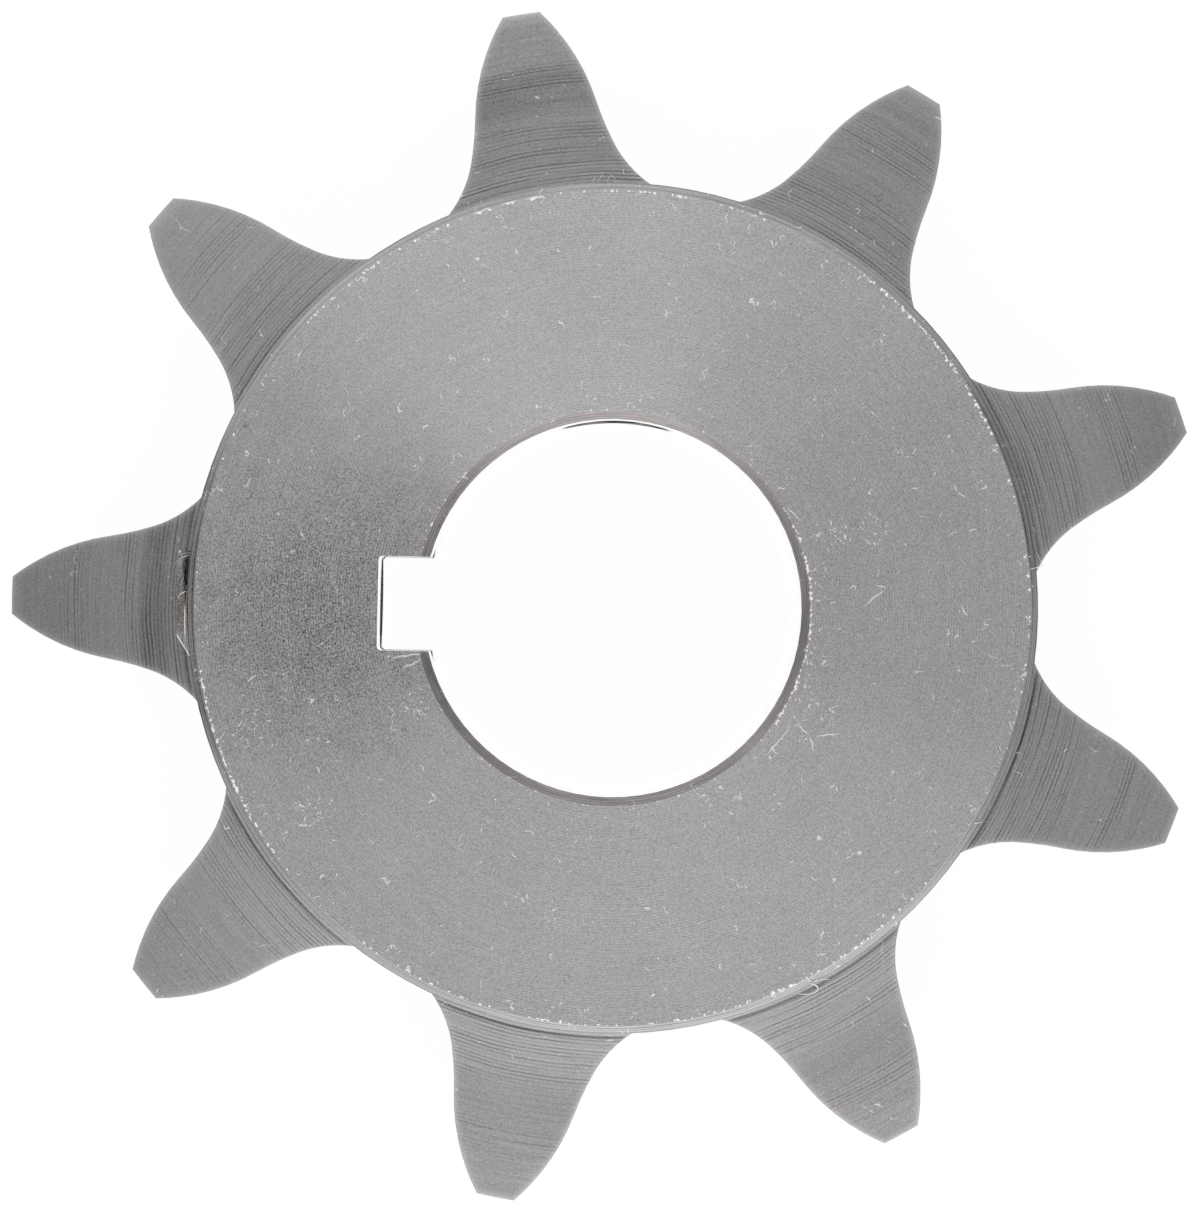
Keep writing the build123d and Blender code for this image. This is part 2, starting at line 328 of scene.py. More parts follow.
class Graph:
    """Short ways to add and link shader nodes. Numbers and node outputs mix freely."""

    def __init__(self, tree):
        self.tree = tree
        self.tree.nodes.clear()

    def node(self, kind, inputs=None, **settings):
        made = self.tree.nodes.new(kind)
        for name, value in settings.items():
            setattr(made, name, value)
        for name, value in (inputs or {}).items():
            if isinstance(value, Value):
                self.tree.links.new(value.socket, made.inputs[name])
            else:
                made.inputs[name].default_value = value
        return made

    def outputs(self, made, *names):
        return [Value(self, made.outputs[name]) for name in names]

    def out(self, kind, inputs=None, output=0, **settings):
        """One output of a new node."""
        return self.outputs(self.node(kind, inputs, **settings), output)[0]

    def math(self, operation, a, b=0.0):
        return self.out("ShaderNodeMath", {0: a, 1: b}, operation=operation)

    def most(self, *values):
        result = values[0]
        for value in values[1:]:
            result = self.math("MAXIMUM", result, value)
        return result

    def vector(self, operation, a, b=(0, 0, 0)):
        return self.out("ShaderNodeVectorMath", {0: a, 1: b}, operation=operation)

    def scale(self, vector, factor):
        return self.out("ShaderNodeVectorMath", {0: vector, "Scale": factor}, operation="SCALE")

    def measure(self, operation, a, b=(0, 0, 0)):
        """LENGTH of a vector, or DISTANCE or DOT_PRODUCT of two."""
        return self.out("ShaderNodeVectorMath", {0: a, 1: b}, "Value", operation=operation)

    def combine(self, x=0.0, y=0.0, z=0.0):
        return self.out("ShaderNodeCombineXYZ", {0: x, 1: y, 2: z})

    def separate(self, vector):
        return self.outputs(self.node("ShaderNodeSeparateXYZ", {0: vector}), 0, 1, 2)

    def step(self, value, low, high):
        """0 below low, 1 above high, smooth between; low may be above high."""
        limits = {"Value": value, "From Min": low, "From Max": high}
        return self.out("ShaderNodeMapRange", limits, interpolation_type="SMOOTHSTEP")

    def band(self, value, centre, half, soft):
        """1 within half of centre, falling to 0 over soft."""
        return self.step(abs(value - centre), half + soft, half)

    def mix(self, factor, a, b):
        return self.out("ShaderNodeMix", {0: factor, 2: a, 3: b}, data_type="FLOAT")

    def tint(self, factor, a, b):
        """Mix of two colours, each an RGB triple or an output."""
        a, b = (colour if isinstance(colour, Value) else (*colour, 1) for colour in (a, b))
        return self.out("ShaderNodeMix", {0: factor, 6: a, 7: b}, 2, data_type="RGBA")

    def noise(self, vector, scale, detail=2.0, roughness=0.5):
        inputs = {"Vector": vector, "Scale": scale, "Detail": detail, "Roughness": roughness}
        return self.out("ShaderNodeTexNoise", inputs)

    def turned(self, vector, angle):
        inputs = {"Vector": vector, "Angle": angle}
        return self.out("ShaderNodeVectorRotate", inputs, rotation_type="Z_AXIS")

    def rounded(self, radius):
        """Normal that is smoothed over the edges, within a radius in mm."""
        return self.out("ShaderNodeBevel", {"Radius": radius * MM}, samples=3)

    def finish(self, shader, kind="ShaderNodeOutputMaterial"):
        self.node(kind, {"Surface": shader})


def new_material(name):
    made = bpy.data.materials.new(name)
    made.use_nodes = True
    return made, Graph(made.node_tree)


def random_cells(g, sheet, scale, seed):
    """Offset from the seed of each cell, in mm, and three random numbers of the cell."""
    moved = g.vector("ADD", sheet, (seed * SEED_STEP[0], seed * SEED_STEP[1], 0.0))
    inputs = {"Vector": moved, "Scale": scale}
    made = g.node("ShaderNodeTexVoronoi", inputs, voronoi_dimensions="2D")
    position, colour = g.outputs(made, "Position", "Color")
    return g.vector("SUBTRACT", moved, position), g.separate(colour)


def strokes(g, sheet, crowd, scale, share, length, width, bend, seed):
    """Thin marks, one at most in a cell, each at its own place, angle and length."""
    offset, (spin, size, chance) = random_cells(g, sheet, scale, seed)
    along, across, _ = g.separate(g.turned(offset, spin * (2 * pi)))
    arch = (along * along) * ((size - 0.5) * bend)
    reach = (size * (1 - SHORTEST) + SHORTEST) * length
    body = g.step(abs(along), reach, reach * STROKE_BODY)
    line = g.step(abs(across + arch), width, width * STROKE_CORE)
    return body * line * g.math("LESS_THAN", chance, crowd * share)


def specks(g, sheet, share, scale, size, seed):
    """Small marks of uneven shape, one at most in a cell."""
    offset, (grow, slim, chance) = random_cells(g, sheet, scale, seed)
    stretched = g.vector("MULTIPLY", offset, g.combine(1.0, slim * SLIM_RANGE + SLIMMEST))
    edge = (grow * (1 - SMALLEST) + SMALLEST) * size
    body = g.step(g.measure("LENGTH", stretched), edge, edge * SPECK_CORE)
    return body * g.math("LESS_THAN", chance, share)


def placed_strokes(g, flat, ends, width):
    """Thin straight marks between given points, pointed at both ends."""
    nearest = FAR
    for x0, y0, x1, y1 in ends:
        inputs = {
            "Vector": flat,
            "Location": ((x0 + x1) / 2, (y0 + y1) / 2, 0.0),
            "Rotation": (0, 0, atan2(y1 - y0, x1 - x0)),
            "Scale": (hypot(x1 - x0, y1 - y0) / 2, width, 1),
        }
        spread = g.out("ShaderNodeMapping", inputs, vector_type="TEXTURE")
        nearest = g.math("MINIMUM", nearest, g.measure("LENGTH", spread))
    return g.step(nearest, 1.0, MARK_CORE)


def gathered(g, flat, spots):
    """1 in the middle of each spot, 0 at its reach; spots are (centre, reach)."""
    nearest = FAR
    for centre, reach in spots:
        away = g.measure("DISTANCE", flat, (*centre, 0.0)) * (1 / reach)
        nearest = g.math("MINIMUM", nearest, away)
    return g.step(nearest, 1.0, DUSTY_MIDDLE)


def near_direction(g, around, degrees, wide, soft):
    """1 where a point lies within wide degrees of a direction from the bore axis."""
    pointer = (cos(radians(degrees)), sin(radians(degrees)), 0.0)
    facing = g.measure("DOT_PRODUCT", around, pointer)
    return g.step(facing, cos(radians(wide + soft)), cos(radians(wide)))


def strengths(g, around, arcs):
    """How strong each arc is at a point; arcs are (degrees, wide, soft, full strength)."""
    return (near_direction(g, around, *arc[:3]) * arc[3] for arc in arcs)


# ---- Materials ----
class Surface:
    """Where a point of a material lies, in mm, and the direction that it faces."""

    def __init__(self, g):
        self.place = g.scale(g.out("ShaderNodeTexCoord", output="Object"), 1 / MM)
        self.x, self.y, self.z = g.separate(self.place)
        self.normal = g.out("ShaderNodeNewGeometry", output="Normal")


class Sprocket(Surface):
    """Zones of the sprocket's surface, each 1 inside and 0 outside, and its slow changes."""

    def __init__(self, g):
        super().__init__(g)
        self.flat = g.combine(self.x, self.y)
        self.radius = g.measure("LENGTH", self.flat)
        self.around = g.vector("NORMALIZE", self.flat)
        self.ux, self.uy, _ = g.separate(self.around)
        steep = abs(g.separate(self.normal)[2])
        self.face = g.step(steep, *FACES)
        self.slant = g.band(steep, *CHAMFERS)
        self.beyond_hub = g.step(self.radius, *BEYOND_HUB)
        self.tooth_side = self.beyond_hub * self.face
        self.rim = self.slant * g.step(self.radius, *RIM)
        self.high = g.step(self.z, *HUB_TOP)
        self.inside = g.step(self.radius, *NEAR_BORE)
        self.bore_wall = self.inside * (1.0 - self.face)
        # Along the tool's feed: outwards on faces, upwards on walls
        self.travel = g.mix(self.face, self.z, self.radius)
        self.cloud = g.noise(self.place, *CLOUD) - 0.5
        self.mottle = g.noise(self.place, *MOTTLE) - 0.5
        oil_edge = g.measure("DISTANCE", self.flat, OIL_MIDDLE) + self.mottle * OIL_STRAY
        self.oily = g.step(oil_edge, *OIL_REACH) * self.high

    def lay(self, g):
        """Direction across the tool marks, which run round the bore axis."""
        up = (0, 0, 1)
        round_wall = g.vector("CROSS_PRODUCT", up, self.normal)
        round_face = g.vector("CROSS_PRODUCT", up, g.vector("NORMALIZE", self.flat))
        along = g.vector("ADD", round_wall, g.scale(round_face, LAY_ROUND))
        return g.vector("NORMALIZE", g.vector("CROSS_PRODUCT", along, self.normal))

    def sheet(self, g):
        """Flat coordinates in mm: x and y on faces, round and up on walls."""
        turn = g.math("ARCTAN2", self.y, self.x)
        across = g.mix(self.face, turn * self.radius, self.x)
        return g.combine(across, g.mix(self.face, self.z, self.y))

    def inside_outline(self, g):
        """Distance of a point on a tooth side from the outline of the teeth, in mm."""
        turn = g.math("PINGPONG", g.math("ARCTAN2", self.uy, self.ux), pi / TOOTH_COUNT)
        across, up = self.radius * g.math("SINE", turn), self.radius * g.math("COSINE", turn)
        spot = g.combine(across, up)
        seat, working, topping = (
            g.measure("DISTANCE", spot, (*arc[0], 0.0)) for arc in (SEAT, WORKING, TOPPING)
        )
        past_seat = g.math("GREATER_THAN", self.radius, SEAT[2])
        hollow = g.mix(past_seat, seat - SEAT[1], working - WORKING[1])
        past_working = g.math("GREATER_THAN", self.radius, WORKING[2])
        flank = g.mix(past_working, hollow, TOPPING[1] - topping)
        return g.math("MINIMUM", flank, TIP_RADIUS - self.radius)


class ToolMarks:
    """Turned rings, fine on the hub, and coarse and broken lines on the tooth sides."""

    def __init__(self, g, at):
        def round_axis(travel, pace, spread, detail, roughness=0.5):
            place = g.combine(travel * pace, at.ux * spread, at.uy * spread)
            return g.noise(place, 1.0, detail, roughness)

        self.wave = g.math("SINE", at.travel * (2 * pi / HUB_FEED))
        self.rings = round_axis(at.travel, *RINGS) - 0.5
        pace, spread, wander = LINE_WANDER
        swing = g.combine(at.ux * spread, at.uy * spread, at.travel * pace)
        turns = at.travel * (1 / TOOTH_FEED) + g.noise(swing, 1.0, 0.0) * wander
        turn = g.math("FLOOR", turns)
        strength = g.step(round_axis(turn, *LINE_DEPTHS), *CUT_THROUGH)
        # The lines are deep close to the hub and in a ring near the tips
        shifted = at.radius + (round_axis(at.travel, *LINE_PATCHES) - 0.5) * PATCH_SHIFT
        zones = g.most(g.step(shifted, *CLOSE_LINES), g.band(shifted, *TIP_LINES))
        zones = zones * (1 - FAINT_LINES) + FAINT_LINES
        deep = strength * (zones * g.step(at.radius, *PLAIN_TIPS))
        self.cuts = g.band(turns - turn, *LINE_GROOVE) * deep * at.tooth_side
        self.crests = g.band(turns - turn, *LINE_CREST) * deep * at.tooth_side


class LooseMarks:
    """Dust, commas and hairs that are pale, and bruises that are dark."""

    def __init__(self, g, at, grain):
        sheet = at.sheet(g)
        inputs = {"Vector": sheet, "Scale": BEND[0], "Detail": 0.0}
        bent = g.out("ShaderNodeTexNoise", inputs, "Color", noise_dimensions="2D")
        bent = g.scale(g.vector("SUBTRACT", bent, (0.5, 0.5, 0.5)), BEND[1])
        uneven = g.vector("ADD", sheet, bent)
        fewer = g.mix(at.beyond_hub, 1.0, FEW_ON_TEETH)
        # Dust gathers in its places, along the edges of the hub face and in patches
        crowd = (gathered(g, at.flat, DUSTY) * at.high) * DUST_PLACED
        edges = g.most(*(g.band(at.radius, *edge) for edge in DUSTY_EDGES))
        crowd = crowd + (edges * at.high) * DUST_EDGES
        crowd = crowd + g.step(at.mottle, *DUST_PATCH_SPLIT) * DUST_PATCHES
        dust = specks(g, uneven, (crowd + DUST_EVEN) * fewer, **DUST)
        commas = strokes(g, uneven, fewer, **COMMAS)
        hairs = strokes(g, uneven, fewer, **HAIRS) * (g.step(grain, *HAIR_GAPS) + HAIR_LEAST)
        swayed = g.vector("ADD", at.flat, g.scale(bent, MARK_SWAY))
        placed = placed_strokes(g, swayed, HUB_MARKS, MARK_WIDTH) * at.high
        pale = g.most(
            dust * DUST_COVER, commas * COMMA_COVER, hairs * HAIR_COVER, placed * PLACED_COVER
        )
        self.pale = pale * (1.0 - at.bore_wall)
        self.bruises = strokes(g, uneven, fewer, **BRUISES)


def struck_edges(g, at):
    """Bright dents where the hub's rim and the mouth of the bore have struck other parts."""
    ragged = g.noise(at.place, *DENTS) - 0.5
    dents = []
    for edge, arcs in ((RIM_DENTS, RIM_WEAR), (MOUTH_DENTS, MOUTH_WEAR)):
        # They run together where the wear is deep, and are scattered elsewhere
        wear = g.most(*strengths(g, at.around, arcs))
        value = ragged * DENT_NOISE + wear * DENT_WEAR - abs(at.radius - edge) * DENT_FALL
        dents.append(g.step(value, *DENT_LIMITS))
    return g.most(*dents) * at.high * at.face


def painted_light_on_teeth(g, at):
    """Painted light on the tooth sides: brighter roots and tips, by direction round the bore."""
    brightened = (at.uy * at.uy) * ROOTS_EVEN + (at.ux * ROOTS_RIGHT - at.uy * ROOTS_UP)
    brightened = brightened * g.step(at.radius, *ROOTS) + g.step(at.radius, *OUTER_HALF) * OUTER_SHARE
    brightened = brightened + sum(strengths(g, at.around, TOOTH_PAINTED_LIGHT))
    brightened = brightened + (g.step(at.uy, *LOW_SIDE) * g.step(at.radius, *LOW_ROOTS)) * LOW_SHARE
    brightened = brightened + (g.step(at.uy, *HIGH_SIDE) * g.step(at.radius, *HIGH_ROOTS)) * HIGH_SHARE
    return brightened + g.step(at.radius, *TIPS) * (at.uy * TIP_UP + TIP_SHARE)


def turned_tone(g, at, tone, grain, tool):
    """Adds the grain, the rings of the hub and chamfers, and the lines of the teeth."""
    gritty = g.mix(at.oily, g.mix(at.beyond_hub, GRAIN_HUB, GRAIN_TEETH), GRAIN_OILY)
    tone = tone + grain * (gritty * (1.0 - at.slant * GRAIN_LOST))
    wave = tool.wave * (g.step(at.mottle, *WAVE_PATCHES) + WAVE_LEAST)
    tone = tone + wave * g.mix(at.oily, g.mix(at.tooth_side, WAVE_DRY, 0.0), WAVE_OILY)
    on_faces = g.mix(at.tooth_side, RINGS_HUB, RINGS_TEETH)
    tone = tone + tool.rings * g.mix(at.slant, on_faces, RINGS_CHAMFERS)
    ridges = g.math("SINE", at.radius * (2 * pi / RIM_FEED)) * at.slant
    tone = tone + ridges * g.mix(at.inside, RIDGES_RIM - at.uy * RIDGES_RIM_UP, RIDGES_MOUTH)
    lines = g.most(*(g.band(at.radius, *line) for line in RIM_LINES))
    tone = tone - (lines * at.rim) * RIM_LINE_SHARE
    return tone + (tool.crests * CREST_SHARE - tool.cuts * CUT_SHARE)


def shaded_tone(g, at, tone):
    """Adds the oil and stains, and painted light and shade round the bore and at the foot of the
    teeth.
    """
    tone = tone - at.oily * OIL_SHARE
    # Painted shade: the hub face darker on the keyway side
    painted_shade_side = near_direction(g, at.around, *PAINTED_SHADE_SIDE) * at.high
    tone = tone - painted_shade_side * g.mix(at.rim, PAINTED_SHADE_SHARE, 0.0)
    # Painted light and shade: rim, hub face and mouth of the bore lighter or darker by direction
    rim_painted_light = sum(strengths(g, at.around, RIM_PAINTED_LIGHT))
    tone = tone + rim_painted_light * (at.rim * at.high)
    hub_painted_light = sum(strengths(g, at.around, HUB_PAINTED_LIGHT))
    tone = tone + hub_painted_light * (at.high * at.face * (1.0 - at.slant))
    mouth_painted_light = sum(strengths(g, at.around, MOUTH_PAINTED_LIGHT))
    tone = tone + mouth_painted_light * (at.slant * at.inside * at.high)
    # Painted light on the tooth sides
    tone = tone + painted_light_on_teeth(g, at) * at.tooth_side
    by_keyway, by_screw = (
        near_direction(g, at.around, *arc) * g.band(at.radius, *ring) for arc, ring in STAINS
    )
    tone = tone - ((by_keyway + by_screw) * at.tooth_side) * STAIN_SHARE
    # Painted shadow line on the tooth sides just outside the hub, darkest below it, next to a
    # strip of painted light that carries on the rim's tone
    foot = FOOT_SHARE - at.ux * FOOT_RIGHT + rim_painted_light * FOOT_AS_RIM
    line = FOOT_LINE_SHARE - at.uy * FOOT_LINE_UP
    foot = g.step(at.radius, *FOOT_RIM) * foot - g.band(at.radius, *FOOT_SHADOW_LINE) * line
    return tone + foot * at.tooth_side


def steel_colour(g, at, tone, edge, rings):
    """Colour of the hub, teeth, chamfers and bore, with brighter rounded edges, partly worn and
    partly painted highlight, a painted highlight round the teeth, and the bore wall painted
    white.
    """
    on_hub = g.tint(g.step(at.cloud, *HUB_SPLIT), HUB_WARM, HUB_COOL)
    on_teeth = g.tint(g.step(at.mottle, *TOOTH_SPLIT), TOOTH_COOL, TOOTH_WARM)
    colour = g.tint(at.beyond_hub, on_hub, on_teeth)
    chamfers = g.tint(at.inside, RIM_BROWN, MOUTH_BROWN)
    colour = g.scale(g.tint(at.slant * CHAMFER_COVER, colour, chamfers), tone)
    # Painted highlight: the tooth sides paler towards their outline
    outline_glow = g.math("EXPONENT", at.inside_outline(g) * (-1 / OUTLINE_FADE)) * at.tooth_side
    outline_glow = g.math("MINIMUM", outline_glow * OUTLINE_SHARE, OUTLINE_SHARE)
    colour = g.tint(outline_glow, colour, TOOTH_OUTLINE_GLOW)
    # Tooth edges lightened, worn and painted highlight; the rim's outer edge a painted highlight
    colour = g.tint((edge * at.beyond_hub) * EDGE_COVER, colour, TOOTH_EDGE_WEAR_AND_HIGHLIGHT)
    rim_edge_highlight = (edge * g.step(at.radius, *RIM_OUTER_EDGE)) * (at.high * RIM_HIGHLIGHT_COVER)
    colour = g.tint(rim_edge_highlight, colour, RIM_EDGE_HIGHLIGHT)
    # Painted light: the bore wall coloured white
    return g.tint(at.bore_wall, colour, g.scale(BORE_PAINTED_LIGHT, 1.0 - abs(rings) * RINGS_BORE))


def machined_steel():
    """Turned, hobbed and bored steel with a film of oil: tool marks, nicks, stains, and painted
    light and shade.
    """
    made, g = new_material("machined_steel")
    at = Sprocket(g)
    tool = ToolMarks(g, at)
    # The grain is drawn out along the surface, as the tool left it
    drawn_out = g.vector("ADD", g.scale(at.place, GRAIN[0]), g.combine(z=at.travel * GRAIN[1]))
    grain = g.noise(drawn_out, 1.0, 0.0) - 0.5
    loose = LooseMarks(g, at, grain)
    # Rounded edges catch light and keep less oil; their colour is lightened too, partly a painted
    # highlight
    soft = g.rounded(STEEL_ROUNDING)
    edge = g.step(1.0 - g.measure("DOT_PRODUCT", soft, at.normal), *STEEL_EDGE)

    tone = at.cloud * CLOUD_SHARE + 1.0
    tone = tone + at.mottle * g.mix(at.oily, MOTTLE_DRY, MOTTLE_OILY)
    tone = turned_tone(g, at, tone, grain, tool)
    tone = shaded_tone(g, at, tone) - loose.bruises * BRUISE_SHARE
    colour = steel_colour(g, at, tone, edge, tool.rings)
    colour = g.tint(loose.pale * MARK_COVER, colour, MARK_WHITE)
    colour = g.tint(struck_edges(g, at), colour, NICK_WHITE)

    rough = g.mix(at.beyond_hub, ROUGH_HUB, ROUGH_TEETH) + at.mottle * ROUGH_MOTTLE
    rough = g.mix(at.bore_wall, rough, ROUGH_BORE)
    height = tool.wave * g.mix(at.tooth_side, WAVE_HEIGHT, 0.0) - tool.cuts * CUT_DEPTH
    relief = {"Height": height, "Distance": MM, "Normal": soft, "Strength": 1.0}
    inputs = {
        "Metallic": 1.0,
        "Anisotropic": LAY_STRENGTH,
        "Base Color": colour,
        "Roughness": g.mix(edge * SMOOTHED_EDGE, rough, ROUGH_EDGE),
        "Normal": g.out("ShaderNodeBump", relief),
        "Tangent": at.lay(g),
    }
    g.finish(g.out("ShaderNodeBsdfPrincipled", inputs))
    return made


def burr_steel():
    """Freshly torn steel, brighter than the surfaces round it."""
    made, g = new_material("burr_steel")
    place = g.scale(g.out("ShaderNodeTexCoord", output="Object"), 1 / MM)
    torn = g.noise(place, *TEARS)
    relief = {"Height": torn * BURR_HEIGHT, "Distance": MM}
    inputs = {
        "Metallic": 1.0,
        "Base Color": g.tint(g.step(torn, *BURR_SPLIT), BURR_DARK, BURR_BRIGHT),
        "Roughness": BURR_ROUGHNESS,
        "Normal": g.out("ShaderNodeBump", relief),
    }
    g.finish(g.out("ShaderNodeBsdfPrincipled", inputs))
    return made


class ScrewZones(Surface):
    """Zones of both set screws, each 1 inside and 0 outside."""

    def __init__(self, g):
        super().__init__(g)
        self.up = self.z - SCREW_HEIGHT
        # Each screw lies along X or along Y: the nearer of the two axes is its own
        from_keyway_screw = g.measure("LENGTH", g.combine(self.y, self.up))
        from_side_screw = g.measure("LENGTH", g.combine(self.x, self.up))
        self.depth = g.math("MINIMUM", from_keyway_screw, from_side_screw)
        self.on_side = g.math("LESS_THAN", from_side_screw, from_keyway_screw)
        self.on_keyway = 1.0 - self.on_side
        # Depth below a screw's own outer end
        self.reach = g.mix(self.on_side, self.x + KEYWAY_SCREW_END, SIDE_SCREW_END - self.y)


def black_oxide():
    """Blackened screw steel, rubbed on its crests and ends, near black in the grooves, with
    painted highlights on one end.
    """
    made, g = new_material("black_oxide_steel")
    at = ScrewZones(g)
    soft = g.rounded(OXIDE_ROUNDING)
    edge = g.step(1.0 - g.measure("DOT_PRODUCT", soft, at.normal), *OXIDE_EDGE)
    mottle = g.noise(at.place, *OXIDE_MOTTLE)
    along, out, up = OXIDE_STREAKS
    streaks = g.noise(g.combine(at.reach * along, at.depth * out, at.up * up), 1.0, 2.0, 0.7)

    # Plain oxide, redder in the middle of the keyway screw's end, with flecks and streaks
    rusty = g.step(at.y, *RUST_FROM) * g.step(at.y, *RUST_TO)
    redness = g.step(mottle + (rusty - RUST_EVEN) * RUST_SHARE, *RUST_SPLIT)
    flecks = g.noise(at.place, *OXIDE_FLECKS)
    blotches = streaks * STREAK_SHARE - BLOTCH_LESS + flecks * FLECK_SHARE
    colour = g.tint(redness, OXIDE_GREEN, OXIDE_RED)
    colour = g.scale(colour, g.most(blotches, BLOTCH_LEAST))

    # Near black at the start of the keyway screw's thread, in the other's grooves, and in the
    # sockets
    start, end = (at.y * slope + middle for middle, slope in (DARK_START, DARK_END))
    keyway_dark = g.step(at.reach - start, -DARK_SOFT, DARK_SOFT)
    keyway_dark = keyway_dark * g.step(at.reach - end, DARK_SOFT, -DARK_SOFT)
    side_dark = g.step(at.depth, *GROOVE_DEPTH) * g.step(at.reach, *GROOVE_REACH)
    socket = g.step(at.depth, *SOCKET_WALL) * g.step(at.reach, *SOCKET_REACH)
    darkened = g.most(g.mix(at.on_side, keyway_dark, side_dark), socket)
    colour = g.tint(darkened, colour, OXIDE_NEAR_BLACK)

    # Worn edges, a painted highlight along the edge of the low end, and a wiped line that runs on
    # from the near-black band
    low_end_highlight = g.step(at.y, *LOW_END_HIGHLIGHT) * at.on_keyway
    worn_and_highlight = edge * g.most(g.step(mottle, *WORN_SPLIT), low_end_highlight)
    colour = g.tint(worn_and_highlight * g.mix(low_end_highlight, WORN_COVER, LOW_END_HIGHLIGHT_COVER), colour, OXIDE_WORN_AND_HIGHLIGHT)
    brightened = g.step(at.y, *WIPED_FROM) * g.step(at.y, *WIPED_TO)
    brightened = g.band(at.reach, *WIPED_LINE) * brightened * at.on_keyway
    colour = g.tint(brightened * WIPED_COVER, colour, OXIDE_WIPED)
    # Painted highlight: bright crescent on the chamfer of the keyway screw's end
    crescent = g.step(at.up, *CRESCENT_UP) * g.step(at.y, *CRESCENT_SIDE)
    crescent = crescent * g.step(at.reach, *CRESCENT_REACH) * at.on_keyway
    colour = g.tint(crescent, colour, OXIDE_HIGHLIGHT)

    height = streaks * STREAK_HEIGHT + mottle * MOTTLE_HEIGHT
    relief = {"Height": height, "Distance": MM, "Normal": soft}
    rough = mottle * OXIDE_ROUGH_MOTTLE + OXIDE_ROUGH
    inputs = {
        "Metallic": 1.0,
        "Base Color": colour,
        "Roughness": g.mix(worn_and_highlight, rough, OXIDE_ROUGH_WORN),
        "Normal": g.out("ShaderNodeBump", relief),
    }
    g.finish(g.out("ShaderNodeBsdfPrincipled", inputs))
    return made


# ---- Set screws with real threads, and the threads of their tapped holes ----
class Station:
    """Place of a set screw: where it points, where it ends, and the start of its thread."""

    def __init__(self, node, lining, degrees, end, thread_start):
        self.node = node
        self.lining = lining
        self.outward = (cos(radians(degrees)), sin(radians(degrees)))
        self.end = end
        self.thread_start = thread_start

    def place(self, turn, radius, depth):
        """Point at an angle about the screw, a radius and a depth under its outer end."""
        up, across = radius * sin(turn), radius * cos(turn)
        reach = self.end - depth
        x = self.outward[0] * reach + self.outward[1] * across
        y = self.outward[1] * reach - self.outward[0] * across
        return (x * MM, y * MM, (SCREW_HEIGHT + up) * MM)


STATIONS = (
    Station("keyway_set_screw", "keyway_hole_thread", 180.0, KEYWAY_SCREW_END, 1.28),
    Station("side_set_screw", "side_hole_thread", 90.0, SIDE_SCREW_END, 0.5),
)


def limited(value, low=0.0, high=1.0):
    return min(high, max(low, value))


def angle_of(step):
    return 2 * pi * step / AROUND


def thread_profile(phase):
    """Height of a 60 degree thread, 0 at the root and 1 on the crest, phase in pitches."""
    away = abs((phase + 0.5) % 1.0 - 0.5)
    return limited((ROOT_STARTS - away) / FLANK_WIDTH)


def thread_rows(start, length):
    """Depths of the helical rows at angle 0, enough to cover the length at every angle."""
    first = start - THREAD_PITCH * (2 + int(start / THREAD_PITCH))
    count = int((length - first) / THREAD_PITCH * ROWS_A_PITCH) + 2
    return [first + THREAD_PITCH * row / ROWS_A_PITCH for row in range(count)]


def thread_onset(turn):
    """Depth at which the thread starts: deeper over a part of the first turn."""
    degrees_round = turn * 180 / pi
    late = limited((degrees_round - LATE_FROM) / LATE_OVER)
    return LATE_DEPTH * (late * limited((LATE_UNTIL - degrees_round) / LATE_FALL))


def screw_radius_at(depth, phase, turn):
    """Radius of the thread, cut down by the chamfers at both ends of the screw."""
    begun = limited((depth - thread_onset(turn)) / RUN_IN)
    cut = (SCREW_RADIUS - ROOT_RADIUS) * (1.0 - thread_profile(phase))
    thread = SCREW_RADIUS - cut * begun
    socket_end = END_RADIUS + (SCREW_RADIUS - END_RADIUS) * depth / END_CHAMFER
    point = SCREW_RADIUS - POINT_CHAMFER + (SCREW_LENGTH - depth)
    return min(thread, socket_end, point)


def tapped_radius_at(_depth, phase, _turn):
    """Radius of the tapped thread, whose ridges lie in the screw's grooves."""
    root = TAPPED_RADIUS + WALL_COVER
    return root - (root - TAPPED_MINOR) * thread_profile(phase + 0.5) * TAPPED_SHARE


def hexagon_radius(turn):
    """Distance from a screw's axis to the side of its socket."""
    sixth = pi / 3
    return SOCKET_SIZE / 2 / cos(turn % sixth - sixth / 2)


def close_rings(rings):
    """Faces between successive rings of points, each ring a list of AROUND indices."""
    faces = []
    for low, high in zip(rings, rings[1:]):
        for step in range(AROUND):
            after = (step + 1) % AROUND
            faces.append((low[step], low[after], high[after], high[step]))
    return faces


def link(name, data):
    piece = bpy.data.objects.new(name, data)
    bpy.context.scene.collection.objects.link(piece)
    return piece


def finish_mesh(name, points, faces):
    """Object from points and faces, merged where they meet and turned outwards."""
    mesh = bpy.data.meshes.new(name)
    mesh.from_pydata(points, [], faces)
    tidy = bmesh.new()
    tidy.from_mesh(mesh)
    bmesh.ops.remove_doubles(tidy, verts=tidy.verts, dist=MERGE * MM)
    bmesh.ops.dissolve_degenerate(tidy, edges=tidy.edges, dist=SLIVER * MM)
    bmesh.ops.recalc_face_normals(tidy, faces=tidy.faces)
    tidy.to_mesh(mesh)
    tidy.free()
    mesh.shade_smooth()
    mesh.set_sharp_from_angle(angle=radians(SHARP_ANGLE))
    return link(name, mesh)


